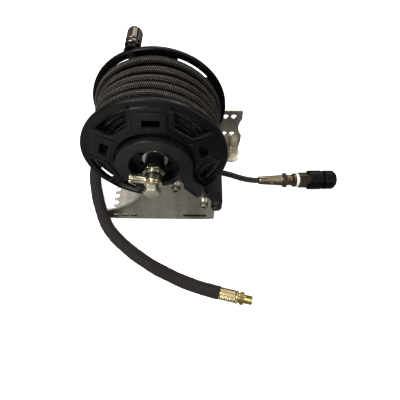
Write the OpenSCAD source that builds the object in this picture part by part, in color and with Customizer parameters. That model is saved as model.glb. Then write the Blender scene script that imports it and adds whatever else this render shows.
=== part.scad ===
// Hand-cranked hose reel on a folded stainless bracket, with its wound
// braided hose, roller guide, quick coupler and loose sleeved lead-in hose.
// Millimetres, +Z up. The drum turns about Y. The origin lies on the
// underside of the bracket, below the front flange, on the drum's centre line.

/* [Drum] */
// Height of the drum axis above the underside of the bracket
axis_h = 140; // [136:1:150]
// Outer radius of both flanges
flange_r = 100; // [99:0.5:101]
// Inner distance between the two flange hubs, which is the core's length
core_len = 100; // [100:1:100]
// Outer radius of the drum core that the hose is wound on
core_r = 54; // [53:0.5:54]
// Radius of the wound pack of hose over its outermost layer
pack_r = 90.3; // [84:0.1:90.5]
// Radius of the outer edge of the five windows in each flange
window_r = 89; // [86:0.5:89.5]
// Half width of each of the five spokes between the windows
spoke_w = 28; // [26:0.5:29]
// Distance of each window's straight inner edge from the axis
window_in = 68; // [66:0.5:70]

/* [Bracket] */
// Sheet thickness of the folded bracket
sheet = 3; // [3:0.5:3]
// Half width of the adjusting slots
slot_r = 3.5; // [3:0.1:4]
// Radius of the holes in the raised ear
ear_hole_r = 4.5; // [3.5:0.1:4.8]
// Radius of the scallops cut in the bracket's left edge
scallop_r = 4.2; // [3:0.1:4.6]

/* [Bearing] */
// Bore radius of the bearing ring and its fixed sleeve
ring_bore_r = 34.5; // [33:0.5:35]
// Outer radius of the bearing ring's front face
ring_r = 52; // [50:0.5:52]
// Outer radius of the fixed sleeve that the drum turns on
sleeve_r = 40; // [39:0.5:40]
// Running clearance of the two bushes on the sleeve
bush_gap = 0.1; // [0.06:0.01:0.12]

/* [Handle] */
// Radius of the winding grip
grip_r = 10.9; // [9:0.1:12]
// Length of the winding grip
grip_len = 31.5; // [24:0.5:34]

/* [Hose guide] */
// Radius of each guide roller
roller_r = 3; // [2.8:0.1:3.1]
// Half of the distance between the two roller axes
roller_half = 8.4; // [8.4:0.1:9]

/* [Hoses] */
// Radius of the braided delivery hose
hose_r = 5; // [4:0.1:5]
// Radius of the sleeved lead-in hose
lead_r = 10; // [8:0.1:10]

/* [Coupler] */
// Outer radius of the quick coupler's sliding sleeve
coupler_r = 16.8; // [15:0.1:16.9]
// Radius of the coupler's socket
socket_r = 6; // [5:0.1:6]

/* [Hidden] */
$fn = 64;
H = axis_h;
ZE = 0.01;
guide_x = 88;
guide_z = 41.5;
handle_x = -30;
handle_z = H + 88;
ax = guide_x;
coup_at = [167, 49.5, 17.2];
coup_a = 1.5;
lead_end = [92.5, -150, 10.1];
lead_a = -13;
lead_back = [-117, 158, 10.1];
lead_back_a = 106;
band_y = -40.2;
port_tilt = 11;
bolt_as = [for (k = [0 : 4]) 54 + 72 * k];

// Hand-set points of the delivery hose, from the wound pack to the ferrule
outlet_pts = [[-4, 51, 44.4], [10, 51, 44.1], [24, 50.9, 43.8], [38, 50.7, 43.4], [50, 50.5, 43],
    [62, 50.1, 42.6], [75, 49.6, 42.1], [88, 49, 41.5], [98, 48.7, 39.8], [108, 48.3, 37.3],
    [118, 47.8, 33.8], [128, 47.4, 29.4], [138, 47.4, 25.2], [148, 48, 21.2], [158, 48.8, 18.3],
    [167, 49.5, 17.2]];
// Hand-set points of the lead-in hose, from its hidden end to the brass tail
lead_pts = [[-117, 158, 10.1], [-122, 138, 10.1], [-126, 118, 10.1], [-128.5, 95, 10.1],
    [-128, 70, 10.1], [-124, 48, 10.1], [-118.5, 28, 10.1], [-111, 6, 10.1],
    [-101.5, -17, 10.1], [-88, -43, 10.1], [-70, -64, 10.1], [-50, -81.5, 10.1],
    [-30, -96.5, 10.1], [-8, -110.5, 10.1], [15, -122.5, 10.1], [38, -133, 10.1],
    [61, -141.4, 10.1], [92.5, -150, 10.1]];

// ---- shared shapes ----
module ycyl(r, y0, y1, x = 0, z = H)
    translate([x, y0, z]) rotate([-90, 0, 0]) cylinder(h = y1 - y0, r = r);
module yhex(af, y0, y1, x = 0, z = H)
    translate([x, y0, z]) rotate([-90, 0, 0]) rotate([0, 0, 30]) cylinder(h = y1 - y0, r = af / sqrt(3), $fn = 6);
// hexagonal prism with its corners to the left and right
module yhex0(af, y0, y1, x = 0, z = H)
    translate([x, y0, z]) rotate([-90, 0, 0]) cylinder(h = y1 - y0, r = af / sqrt(3), $fn = 6);
module ytube(ro, ri, y0, y1, x = 0, z = H)
    difference() { ycyl(ro, y0, y1, x, z); ycyl(ri, y0 - 1, y1 + 1, x, z); }
module yprof(y0, y1)
    translate([0, y1, 0]) rotate([90, 0, 0]) linear_extrude(y1 - y0) children();
module yturn()
    translate([0, 0, H]) rotate([-90, 0, 0]) rotate_extrude($fn = 96) children();
// socket-head cap screw whose head stands towards -Y
module cap_screw_y(x, z, yseat, head_r, head_h, shank_r, shank_len, sock)
    difference() {
        union() {
            ycyl(head_r, yseat - head_h, yseat, x, z);
            ycyl(shank_r, yseat - ZE, yseat + shank_len, x, z);
        }
        yhex(sock, yseat - head_h - 1, yseat - head_h / 2, x, z);
    }
module xcyl(r, x0, x1) translate([x0, 0, 0]) rotate([0, 90, 0]) cylinder(h = x1 - x0, r = r);
module xhex(af, x0, x1) translate([x0, 0, 0]) rotate([0, 90, 0]) cylinder(h = x1 - x0, r = af / sqrt(3), $fn = 6);
module at_coupler() translate(coup_at) rotate([0, 0, coup_a]) children();
module at_lead() translate(lead_end) rotate([0, 0, lead_a]) children();
module at_back() translate(lead_back) rotate([0, 0, lead_back_a]) children();

// ---- swept tube along a smooth line through hand-set points ----
function cr(a, b, c, d, t) = 0.5 * (2 * b + (c - a) * t + (2 * a - 5 * b + 4 * c - d) * t * t
    + (3 * b - a - 3 * c + d) * t * t * t);
function pt(p, i) = p[max(0, min(len(p) - 1, i))];
function smooth(p, k) = [for (i = [0 : len(p) - 2], j = [0 : k - 1])
    cr(pt(p, i - 1), p[i], p[i + 1], pt(p, i + 2), j / k), p[len(p) - 1]];
function unit(v) = v / norm(v);
function tang(q, i) = i == 0 ? unit(q[1] - q[0]) : i == len(q) - 1 ? unit(q[i] - q[i - 1]) : unit(q[i + 1] - q[i - 1]);
module tube(p, r, k, n, t0, t1) {
    q = smooth(p, k);
    m = len(q);
    pts = [for (i = [0 : m - 1]) let(t = i == 0 ? t0 : i == m - 1 ? t1 : tang(q, i), s = unit(cross(t, [0, 0, 1])), u = cross(s, t))
        for (j = [0 : n - 1]) q[i] + r * (cos(360 * j / n) * s + sin(360 * j / n) * u)];
    faces = concat([[for (j = [0 : n - 1]) j]],
        [for (i = [0 : m - 2], j = [0 : n - 1]) [i * n + j, (i + 1) * n + j, (i + 1) * n + (j + 1) % n]],
        [for (i = [0 : m - 2], j = [0 : n - 1]) [i * n + j, (i + 1) * n + (j + 1) % n, i * n + (j + 1) % n]],
        [[for (j = [n - 1 : -1 : 0]) (m - 1) * n + j]]);
    polyhedron(points = pts, faces = faces, convexity = 10);
}

// ---- bracket ----
module slot_y(x0, x1, z, r, y0, y1) {
    ycyl(r, y0, y1, x0 + r, z);
    ycyl(r, y0, y1, x1 - r, z);
    translate([x0 + r, y0, z - r]) cube([x1 - x0 - 2 * r, y1 - y0, 2 * r]);
}
module front_plate() difference() {
    union() {
        yprof(-20 - sheet, -20) polygon([[-79, 5], [78.5, 5], [86.5, 8], [86.5, 29], [80, 42], [80, 59],
            [62, 69], [58, 70.5], [37, 99], [30, 106], [20, 108], [-20, 104], [-88, 104], [-88, 9]]);
        ycyl(11.5, -20 - sheet, -20, 68.5, 59);
        ycyl(11.5, -20 - sheet, -20, 27.5, 103);
        ycyl(8, -20 - sheet, -20, 78.5, 8);
        ycyl(9, -20 - sheet, -20, -79, 9);
    }
    ycyl(94.4, -30, -10, -108, 123);
    ycyl(39.5, -30, -10, 0, H);
    for (i = [0 : 2]) slot_y(-81.65 + 14.7 * i, -69.15 + 14.7 * i, 15.5, slot_r, -30, -10);
    slot_y(35, 74, 15.5, slot_r, -30, -10);
    ycyl(4.3, -30, -10, 27.5, 102.5);
    ycyl(4.3, -30, -10, 68.5, 58);
    translate([-100, -30, -10]) cube([200, 20, 15]);
}
// quarter bend along X, with its inner radius towards +Y and up
module bend_x(x0, x1, yo, flip = 0)
    translate([0, yo, 0]) mirror([0, flip, 0]) intersection() {
        difference() {
            translate([x0, 5, 5]) rotate([0, 90, 0]) cylinder(h = x1 - x0, r = 5);
            translate([x0 - 1, 5, 5]) rotate([0, 90, 0]) cylinder(h = x1 - x0 + 2, r = 5 - sheet);
        }
        translate([x0, 0, 0]) cube([x1 - x0, 5, 5]);
    }
module base_plate() difference() {
    union() {
        linear_extrude(sheet) polygon([[-79, -18], [78.5, -18], [86.5, -10], [86.5, 70], [99, 88], [104, 97],
            [116, 105], [122, 137.5], [20, 137.5], [20, 112], [8, 100], [-82, 100], [-87, 95], [-87, -10]]);
        translate([122, 120, 0]) cylinder(h = sheet, r = 16);
        translate([100, 120, 0]) cube([38, 17.5, sheet]);
    }
    for (i = [0 : 6]) {
        translate([-83, -3 + 13.4 * i, -1]) cylinder(h = 5, r = scallop_r);
        translate([-95, -3 + 13.4 * i - scallop_r, -1]) cube([12, 2 * scallop_r, 5]);
    }
    translate([78, -13, -1]) cylinder(h = 5, r = 2.6);
    translate([92, 99, -1]) cylinder(h = 5, r = 2.6);
    translate([121, 126, -1]) cylinder(h = 5, r = 2.6);
}
module ear_plate() difference() {
    union() {
        yprof(142.5 - sheet, 142.5) polygon([[20, 5], [138, 5], [139.5, 20], [139.5, 70], [136.5, 82], [136.5, 90.5], [131, 96], [60, 96], [20, 40]]);
        ycyl(5.5, 142.5 - sheet, 142.5, 131, 90.5);
    }
    ycyl(113, 130, 147);
    ycyl(40, 130, 147, 172.3, 57.5);
    for (x = [107, 121], z = [40, 82]) ycyl(ear_hole_r, 130, 147, x, z);
}
module mounting_bracket() color([0.72, 0.70, 0.66]) union() {
    front_plate();
    bend_x(-79, 78.5, -23);
    base_plate();
    translate([0, -18, 0]) translate([-79, 0, 0]) cube([157.5, 3, sheet]);
    ear_plate();
    bend_x(20, 138, 142.5, 1);
}

// ---- fixed support arm and its bearing sleeve ----
module support_arm() color([0.13, 0.13, 0.14]) difference() {
    union() {
        ycyl(ring_r, -20, -13);
        ycyl(sleeve_r, -14, 52);
        yprof(-20, -13) polygon([[ring_r - 0.5, 140], [ring_r - 0.5, 112], [58, 103.5], [67, 88], [73.5, 76], [73.5, 56],
            [68, 48], [60, 47], [50, 56], [16, 92], [4, 90], [0, 100]]);
    }
    ycyl(ring_bore_r, -21, 53);
    ytube(sleeve_r + 2, 38.2, 49.2, 51.2);
    ycyl(4.05, -21, -12, 27.5, 102.5);
    ycyl(4.05, -21, -12, 68.5, 58);
}
module arm_screws() color([0.75, 0.73, 0.68]) {
    cap_screw_y(27.5, 102.5, -25, 6.5, 8, 4, 11.9, 6);
    cap_screw_y(68.5, 58, -25, 6.5, 8, 4, 12, 6);
}
module arm_washers() color([0.8, 0.78, 0.74]) for (p = [[27.5, 102.5], [68.5, 58]])
    ytube(7.2, 4.1, -25, -23, p[0], p[1]);
module sleeve_end_plate() color([0.08, 0.08, 0.09]) difference() {
    ycyl(ring_bore_r, -4, 1);
    ycyl(9.25, -5, 2);
    for (a = [30 : 60 : 330]) translate([22 * cos(a), 0, 22 * sin(a)]) ycyl(4, -5, 2);
}
module shaft_washer() color([0.82, 0.8, 0.76]) ytube(17.6, 9.25, -5.5, -4);
module sleeve_retaining_ring() color([0.3, 0.3, 0.32]) difference() {
    ytube(43, 38.3, 49.4, 51);
    translate([-3, 48, H - 50]) cube([6, 5, 20]);
}

// ---- roller guide ----
module roller_holes(r) for (s = [-1, 1]) ycyl(r, -30, 120, guide_x, guide_z + s * roller_half);
module guide_front_bracket() color([0.1, 0.1, 0.11]) difference() {
    yprof(-20, -6.5) polygon([[74.5, 79], [96, 59.5], [98, 56.5], [98, 34], [94.5, 27], [84, 25], [84, sheet], [72, sheet],
        [72, 46], [74.5, 52]]);
    roller_holes(2.1);
    for (s = [-1, 1]) ycyl(5, -21, -17, guide_x, guide_z + s * roller_half);
    translate([78, -13, 0]) cylinder(h = 15, r = 2.05);
    translate([70, -20.5, 2]) cube([20, 2.6, 3.1]);
}
module guide_rear_bracket() color([0.1, 0.1, 0.11]) difference() {
    yprof(94, 104) polygon([[78, sheet], [98, sheet], [98, 61], [95, 64], [86, 64], [78, 52]]);
    roller_holes(2.1);
    translate([92, 99, 0]) cylinder(h = 15, r = 2.05);
}
module guide_tie_bar() color([0.1, 0.1, 0.11]) difference() {
    translate([64.5, -6.5, 54.2]) cube([33.5, 100.5, 4.6]);
    translate([76.3, 25.4, 50]) cylinder(h = 12, r = 1.5);
}
module guide_screws() color([0.3, 0.3, 0.31]) {
    for (p = [[78, -13], [92, 99]]) difference() {
        translate([p[0], p[1], 0.1]) cylinder(h = 12.5, r = 2);
        translate([p[0], p[1], -1]) cylinder(h = 2.5, r = 1.2, $fn = 6);
    }
    translate([76.3, 25.4, 54.4]) cylinder(h = 4.5, r = 1.5);
    translate([76.3, 25.4, 58.8]) cylinder(h = 1.8, r1 = 2.8, r2 = 2.2);
}
module roller_pins() color([0.35, 0.35, 0.36]) for (s = [-1, 1]) {
    cap_screw_y(guide_x, guide_z + s * roller_half, -17, 4.8, 2.9, 2, 123.5, 5);
    difference() {
        yhex(7.5, 104, 107.2, guide_x, guide_z + s * roller_half);
        ycyl(1.9, 103, 106, guide_x, guide_z + s * roller_half);
    }
}
module guide_roller(z) ytube(roller_r, 2.12, -6.1, 93.6, guide_x, z);
module upper_roller() color([0.16, 0.16, 0.17]) guide_roller(guide_z + roller_half);
module lower_roller() color([0.16, 0.16, 0.17]) guide_roller(guide_z - roller_half);
module ear_screw() color([0.8, 0.78, 0.72]) union() {
    translate([121, 126, 0.2]) cylinder(h = 3, r = 2.5);
    translate([121, 126, sheet]) cylinder(h = 1, r = 5.5);
    translate([121, 126, sheet + 0.9]) cylinder(h = 9.1, r = 2.6);
    translate([121, 126, 14.5]) sphere(r = 3.8, $fn = 32);
}

// ---- drum ----
// half width of a window at distance r along its own centre line
function win_w(r) = (r * sin(36) - spoke_w) / cos(36);
module window() intersection() {
    ycyl(window_r, -15, 12);
    translate([0, 0, H]) yprof(-15, 12) polygon([[-win_w(window_in), window_in], [-win_w(98), 98],
        [win_w(98), 98], [win_w(window_in), window_in]]);
}
module flange_solid() difference() {
    yturn() polygon([[44, -5], [54.6, -5], [54.6, -9.6], [57.6, -9.6], [90, -3.4], [90.6, -1.5], [flange_r - 1.5, -1.5],
        [flange_r, 0], [flange_r, 4.5], [flange_r - 1.5, 6], [91.2, 6], [90, -0.4], [58, -6.5], [57, 0], [44, 0]]);
    for (q = [0 : 4]) {
        translate([0, 0, H]) rotate([0, 37.5 + 72 * q, 0]) translate([0, 0, -H]) window();
        translate([0, 0, H]) rotate([0, 1.5 + 72 * q, 0]) translate([-11, -15, 63.3]) cube([22, 30, 11.5]);
    }
    for (a = bolt_as) {
        ycyl(2.6, -12, 8, 49 * cos(a), H + 49 * sin(a));
        ycyl(4.6, -11, -0.9, 49 * cos(a), H + 49 * sin(a));
    }
}
module front_flange() color([0.09, 0.09, 0.1]) flange_solid();
module rear_flange() color([0.09, 0.09, 0.1]) difference() {
    translate([0, core_len, 0]) mirror([0, 1, 0]) flange_solid();
    ycyl(3.1, 90, 110, handle_x, handle_z);
    ycyl(5.4, 90, 97.2, handle_x, handle_z);
    ycyl(11.4, 101.5, 118, handle_x, handle_z);
}
module drum_core() color([0.12, 0.12, 0.13]) difference() {
    union() {
        ytube(core_r, 44, 0, core_len);
        ycyl(44.5, 54, 60);
    }
    ycyl(9.05, 50, 62);
    for (a = bolt_as) ycyl(2.6, -1, 101, 49 * cos(a), H + 49 * sin(a));
    translate([0, 76, H + 30]) cylinder(h = 40, r = 6.1);
}
module drum_bushes() color([0.85, 0.83, 0.76]) {
    ytube(44, sleeve_r + bush_gap, -5, 6);
    ytube(50, sleeve_r + bush_gap, -7.6, -5);
    ytube(46, sleeve_r + bush_gap, -12.6, -7.6);
    ytube(44, sleeve_r + bush_gap, 33, 47);
}
module tie_bolts() color([0.4, 0.4, 0.42]) for (a = bolt_as)
    union() {
        difference() {
            ycyl(4.3, -4.8, -0.9, 49 * cos(a), H + 49 * sin(a));
            yhex(4, -6, -3, 49 * cos(a), H + 49 * sin(a));
        }
        ycyl(2.5, -1, 104, 49 * cos(a), H + 49 * sin(a));
        yhex(7.8, 100.9, 104.5, 49 * cos(a), H + 49 * sin(a));
    }
module rear_cover() color([0.09, 0.09, 0.1]) difference() {
    union() {
        ycyl(43.9, 99, 105);
        ycyl(30, 105, 107);
    }
    ycyl(26, 106, 109);
    for (a = [0 : 120 : 240]) ycyl(2.1, 95, 109, 36 * cos(a), H + 36 * sin(a));
    ycyl(33, 98, 101.5);
}
module rear_cover_screws() color([0.5, 0.5, 0.5]) for (a = [0 : 120 : 240]) {
    ycyl(2, 99.5, 105.1, 36 * cos(a), H + 36 * sin(a));
    ycyl(3.6, 105, 107, 36 * cos(a), H + 36 * sin(a));
}
module swivel_shaft() color([0.1, 0.1, 0.11]) difference() {
    union() {
        ycyl(9, -21, 68);
        ycyl(13.5, -24.5, -6);
        ycyl(12, 50.8, 54);
    }
    ycyl(4, -25, 69);
}
module shaft_nut() color([0.78, 0.75, 0.7]) difference() {
    yhex(27, 60, 66.5);
    ycyl(9.05, 59, 68);
}
module inner_elbow() color([0.8, 0.65, 0.35]) difference() {
    union() {
        translate([-11, 68, H - 11]) cube([22, 18, 22]);
        translate([0, 76, H + 10]) cylinder(h = 43.8, r = 6);
    }
    ycyl(4, 66, 76);
    translate([0, 76, H]) cylinder(h = 60, r = 3.5);
}
module inlet_hex() color([0.78, 0.75, 0.7]) difference() {
    union() {
        yhex0(26.5, -28.8, -24.5);
        ycyl(10, -33.6, -28.7);
        ycyl(10.6, -31.6, -30.4);
    }
    ycyl(6.05, -36, -24);
}
module banjo_bolt() color([0.8, 0.78, 0.74]) difference() {
    union() {
        yhex0(19.5, -62, -53);
        ycyl(8.3, -53.1, -46.7);
        ycyl(6, -46.8, -24.5);
    }
    ycyl(3, -50, -24);
}
module banjo_seals() color([0.82, 0.6, 0.4]) {
    ytube(8.3, 6.05, -46.7, -46.3);
    ytube(8.3, 6.05, -34.1, -33.6);
}
// the banjo's port points along -X and rises by port_tilt degrees
module at_port() translate([0, band_y, H]) rotate([0, port_tilt - 90, 0]) children();
module inlet_banjo() color([0.78, 0.75, 0.7]) difference() {
    union() {
        ycyl(12, -46.3, -34.1);
        at_port() translate([0, 0, 3]) cylinder(h = 25, r = 5.9);
        at_port() translate([0, 0, 26.5]) cylinder(h = 2, r1 = 5.9, r2 = 7.1);
        at_port() translate([0, 0, 28.4]) cylinder(h = 2.6, r = 7.1);
    }
    ycyl(6.1, -47, -33);
    at_port() translate([0, 0, 19.5]) cylinder(h = 12, r = 4.3);
    at_port() cylinder(h = 20, r = 3.5);
}
module wound_hose() color([0.2, 0.19, 0.18]) yturn() polygon([[core_r + 0.2, 6.8], [82, 6.8], [pack_r, 14], [pack_r, 76],
    [82.5, 79], [82.5, 82.5], [pack_r + 2.7, 84], [pack_r + 2.7, 93.6], [core_r + 0.2, 93.6]]);

// ---- winding handle ----
module at_handle() translate([handle_x, 0, handle_z]) rotate([-90, 0, 0]) children();
module handle_boss() color([0.08, 0.08, 0.09]) at_handle() difference() {
    translate([0, 0, 101.5]) cylinder(h = 6.5, r1 = 11, r2 = 9);
    translate([0, 0, 100]) cylinder(h = 10, r = 3.1);
}
module handle_screw() color([0.7, 0.7, 0.7]) at_handle() difference() {
    union() {
        translate([0, 0, 94.6]) cylinder(h = 2.5, r = 5);
        translate([0, 0, 97]) cylinder(h = 11, r = 3);
    }
    translate([0, 0, 94]) cylinder(h = 2, r = 2.2, $fn = 6);
}
module handle_spindle() color([0.7, 0.68, 0.64]) at_handle() difference() {
    union() {
        translate([0, 0, 108]) cylinder(h = 5, r = 15 / sqrt(3), $fn = 6);
        translate([0, 0, 112.9]) cylinder(h = grip_len, r = 5);
    }
    translate([0, 0, 107]) cylinder(h = 12, r = 3.05);
}
module handle_grip() color([0.6, 0.57, 0.54]) at_handle() difference() {
    translate([0, 0, 113.4]) cylinder(h = grip_len, r = grip_r);
    translate([0, 0, 112]) cylinder(h = grip_len + 3, r = 5.1);
    difference() {
        translate([0, 0, 119]) cylinder(h = 3, r = grip_r + 1);
        translate([0, 0, 118]) cylinder(h = 5, r = grip_r - 1.2);
    }
}
module handle_end_cap() color([0.6, 0.57, 0.54]) at_handle()
    translate([0, 0, 113.4 + grip_len]) cylinder(h = 4, r1 = grip_r, r2 = grip_r - 1.5);

// ---- delivery hose and its coupler ----
module outlet_hose() color([0.16, 0.15, 0.15]) tube(outlet_pts, hose_r, 2, 12,
    unit(outlet_pts[1] - outlet_pts[0]), [cos(coup_a), sin(coup_a), 0]);
module outlet_ferrule() color([0.7, 0.68, 0.66]) at_coupler() rotate([0, 90, 0]) cylinder(h = 43, r1 = 6.9, r2 = 9.6);
module outlet_nut() color([0.66, 0.64, 0.62]) at_coupler() union() {
    xhex(22.5, 43, 49.4);
    xcyl(9.2, 49.3, 58.1);
    translate([58, 0, 0]) rotate([0, 90, 0]) cylinder(h = 4, r1 = 9.2, r2 = 12.2);
    xcyl(12.2, 61.9, 66);
}
module seal_washer() color([0.92, 0.92, 0.9]) at_coupler() xcyl(11.6, 66, 70.5);
module coupler_adapter() color([0.6, 0.58, 0.56]) at_coupler() xhex(24, 70.5, 88);
module coupler_body() color([0.07, 0.07, 0.08]) at_coupler() difference() {
    union() {
        xcyl(17, 88, 110.3);
        xcyl(12.6, 110, 136);
    }
    xcyl(socket_r, 112, 137);
    xcyl(4, 92, 113);
}
module coupler_sleeve() color([0.06, 0.06, 0.07]) at_coupler() difference() {
    xcyl(coupler_r, 114.6, 134.4);
    xcyl(12.7, 114, 135);
}

// ---- sleeved lead-in hose with its brass ends ----
module lead_hose() color([0.25, 0.22, 0.2]) tube(lead_pts, lead_r, 3, 12, [cos(lead_back_a), sin(lead_back_a), 0] * -1, [cos(lead_a), sin(lead_a), 0]);
module lead_ferrule_front() color([0.78, 0.68, 0.45]) at_lead() difference() {
    union() {
        xcyl(9.2, 0, 24.1);
        xcyl(9.7, 24, 27);
    }
    xcyl(3.5, 2, 28);
}
module lead_male_stem() color([0.8, 0.62, 0.3]) at_lead() difference() {
    union() {
        xcyl(7.4, 27, 30.5);
        xhex(17, 30.4, 36);
        xcyl(6.58, 35.9, 48.5);
    }
    xcyl(3.5, 26, 49);
}
module lead_ferrule_rear() color([0.78, 0.68, 0.45]) at_back() xcyl(8.2, 0, 24);
module lead_swivel_nut() color([0.8, 0.62, 0.3]) at_back() difference() {
    xhex(17, 24.3, 40);
    xcyl(6.6, 29, 41);
}

mounting_bracket();
support_arm();
arm_screws();
arm_washers();
sleeve_end_plate();
shaft_washer();
sleeve_retaining_ring();
guide_front_bracket();
guide_rear_bracket();
guide_tie_bar();
guide_screws();
roller_pins();
upper_roller();
lower_roller();
ear_screw();
front_flange();
rear_flange();
drum_core();
drum_bushes();
tie_bolts();
rear_cover();
rear_cover_screws();
swivel_shaft();
shaft_nut();
inner_elbow();
inlet_hex();
banjo_bolt();
banjo_seals();
inlet_banjo();
wound_hose();
handle_boss();
handle_screw();
handle_spindle();
handle_grip();
handle_end_cap();
outlet_hose();
outlet_ferrule();
outlet_nut();
seal_washer();
coupler_adapter();
coupler_body();
coupler_sleeve();
lead_hose();
lead_ferrule_front();
lead_male_stem();
lead_ferrule_rear();
lead_swivel_nut();
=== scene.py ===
import bpy, bmesh, math
import numpy as np
from mathutils import Vector, Matrix


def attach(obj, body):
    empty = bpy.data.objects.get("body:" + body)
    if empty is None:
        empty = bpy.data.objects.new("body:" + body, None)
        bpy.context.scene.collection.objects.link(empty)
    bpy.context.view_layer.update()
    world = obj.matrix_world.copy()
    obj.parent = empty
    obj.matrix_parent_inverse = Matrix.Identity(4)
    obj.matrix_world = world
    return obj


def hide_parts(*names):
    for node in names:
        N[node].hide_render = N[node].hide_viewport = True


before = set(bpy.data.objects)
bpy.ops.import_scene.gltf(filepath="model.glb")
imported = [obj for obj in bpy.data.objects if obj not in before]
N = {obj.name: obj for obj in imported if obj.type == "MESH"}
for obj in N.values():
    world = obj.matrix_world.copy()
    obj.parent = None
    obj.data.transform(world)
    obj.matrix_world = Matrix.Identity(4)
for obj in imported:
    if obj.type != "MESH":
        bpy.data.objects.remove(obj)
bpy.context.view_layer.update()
scene = bpy.context.scene
MM = 0.001
H = 0.140

# ------------------------------------------------------------------ camera
cam_data = bpy.data.cameras.new("view_camera")
cam_data.sensor_width = 36.0
cam_data.lens = 29.367
cam_data.clip_start = 0.01
cam_data.clip_end = 20.0
cam = bpy.data.objects.new("view_camera", cam_data)
scene.collection.objects.link(cam)
cam.matrix_world = Matrix(((0.99990, -0.01062, -0.00904, 0.05796),
                           (0.00423, 0.84832, -0.52946, -0.28857),
                           (0.01329, 0.52938, 0.84828, 0.49062),
                           (0, 0, 0, 1)))
scene.camera = cam


# ------------------------------------------------------------------ helpers
def new_object(name, mesh, mats, body, replaces=(), sharp=35.0):
    ob = bpy.data.objects.new(name, mesh)
    scene.collection.objects.link(ob)
    for m in (mats if isinstance(mats, (list, tuple)) else [mats]):
        mesh.materials.append(m)
    for p in mesh.polygons:
        p.use_smooth = True
    if sharp:
        mesh.set_sharp_from_angle(angle=math.radians(sharp))
    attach(ob, body)
    if replaces:
        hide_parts(*replaces)
    return ob


def tidy(mesh):
    bm = bmesh.new()
    bm.from_mesh(mesh)
    bmesh.ops.remove_doubles(bm, verts=bm.verts, dist=1e-6)
    bmesh.ops.recalc_face_normals(bm, faces=bm.faces)
    bm.to_mesh(mesh)
    bm.free()
    return mesh


def cr(a, b, c, d, t):
    return 0.5 * (2 * b + (c - a) * t + (2 * a - 5 * b + 4 * c - d) * t * t + (3 * b - a - 3 * c + d) * t ** 3)


def smooth(points, k):
    p = [np.array(q, float) for q in points]
    n = len(p)
    out = []
    for i in range(n - 1):
        for j in range(k):
            out.append(cr(p[max(i - 1, 0)], p[i], p[i + 1], p[min(i + 2, n - 1)], j / k))
    out.append(p[-1])
    return np.array(out)


def respaced(line, step):
    d = np.r_[0, np.cumsum(np.linalg.norm(np.diff(line, axis=0), axis=1))]
    n = max(2, int(round(d[-1] / step)) + 1)
    t = np.linspace(0, d[-1], n)
    return np.stack([np.interp(t, d, line[:, i]) for i in range(3)], 1)


def tube_mesh(name, line, r, sides, disp=None, s0=0.0):
    """Swept tube with a braid UV map: u runs along the hose in metres, v once round it."""
    P = np.asarray(line, float)
    n = len(P)
    T = np.gradient(P, axis=0)
    T /= np.linalg.norm(T, axis=1)[:, None]
    s = np.r_[0, np.cumsum(np.linalg.norm(np.diff(P, axis=0), axis=1))] + s0
    a = np.cross(T[0], [0, 0, 1.0])
    if np.linalg.norm(a) < 0.1:
        a = np.cross(T[0], [0, 1.0, 0])
    S = np.zeros_like(P)
    for i in range(n):
        a = a - T[i] * a.dot(T[i])
        a /= np.linalg.norm(a)
        S[i] = a
    U = np.cross(T, S)
    th = 2 * np.pi * np.arange(sides) / sides
    rad = np.full((n, sides), float(r))
    if disp is not None:
        rad = rad + disp(s[:, None], th[None, :])
    V = P[:, None, :] + rad[..., None] * (np.cos(th)[None, :, None] * S[:, None, :] + np.sin(th)[None, :, None] * U[:, None, :])
    V = V.reshape(-1, 3)
    i, j = np.meshgrid(np.arange(n - 1), np.arange(sides), indexing="ij")
    j2 = (j + 1) % sides
    F = np.stack([i * sides + j, i * sides + j2, (i + 1) * sides + j2, (i + 1) * sides + j], -1).reshape(-1, 4)
    faces = F.tolist()
    faces.append(list(range(sides - 1, -1, -1)))
    faces.append([(n - 1) * sides + q for q in range(sides)])
    me = bpy.data.meshes.new(name)
    me.from_pydata(V.tolist(), [], faces)
    uv = me.uv_layers.new(name="braid")
    su = np.stack([s[i], s[i], s[i + 1], s[i + 1]], -1).reshape(-1)
    sv = np.stack([j, j + 1, j + 1, j], -1).reshape(-1) / sides
    flat = np.zeros((len(me.loops), 2), np.float32)
    flat[:len(su), 0] = su
    flat[:len(sv), 1] = sv
    uv.data.foreach_set("uv", flat.reshape(-1))
    return me


def axis_matrix(origin, direction):
    """Local X runs along direction; used for turned parts."""
    x = Vector(direction).normalized()
    up = Vector((0, 0, 1)) if abs(x.z) < 0.9 else Vector((1, 0, 0))
    y = up.cross(x).normalized()
    z = x.cross(y)
    m = Matrix((x, y, z)).transposed().to_4x4()
    m.translation = Vector(origin)
    return m


def turned(name, prof, M, n=72, fr=None, closed=True):
    """Turned part from (x, r) points along local X, in mm; fr changes the radius by position and angle."""
    verts, faces = [], []
    rings = []
    for x, r in prof:
        if r < 1e-4:
            rings.append([len(verts)])
            verts.append(M @ Vector((x * MM, 0, 0)))
            continue
        ring = []
        for j in range(n):
            t = 2 * math.pi * j / n
            q = r if fr is None else fr(x, t, r)
            ring.append(len(verts))
            verts.append(M @ Vector((x * MM, q * math.cos(t) * MM, q * math.sin(t) * MM)))
        rings.append(ring)
    pairs = list(zip(rings, rings[1:]))
    if closed:
        pairs.append((rings[-1], rings[0]))
    for A, B in pairs:
        if len(A) == 1 and len(B) == 1:
            continue
        for j in range(n):
            k = (j + 1) % n
            if len(A) == 1:
                faces.append((A[0], B[k], B[j]))
            elif len(B) == 1:
                faces.append((A[j], A[k], B[0]))
            else:
                faces.append((A[j], A[k], B[k], B[j]))
    me = bpy.data.meshes.new(name)
    me.from_pydata([tuple(v) for v in verts], [], faces)
    return tidy(me)


def hexr(af, t, off=0.0):
    a = (t + off) % (math.pi / 3) - math.pi / 6
    return af / 2 / math.cos(a)


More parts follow.
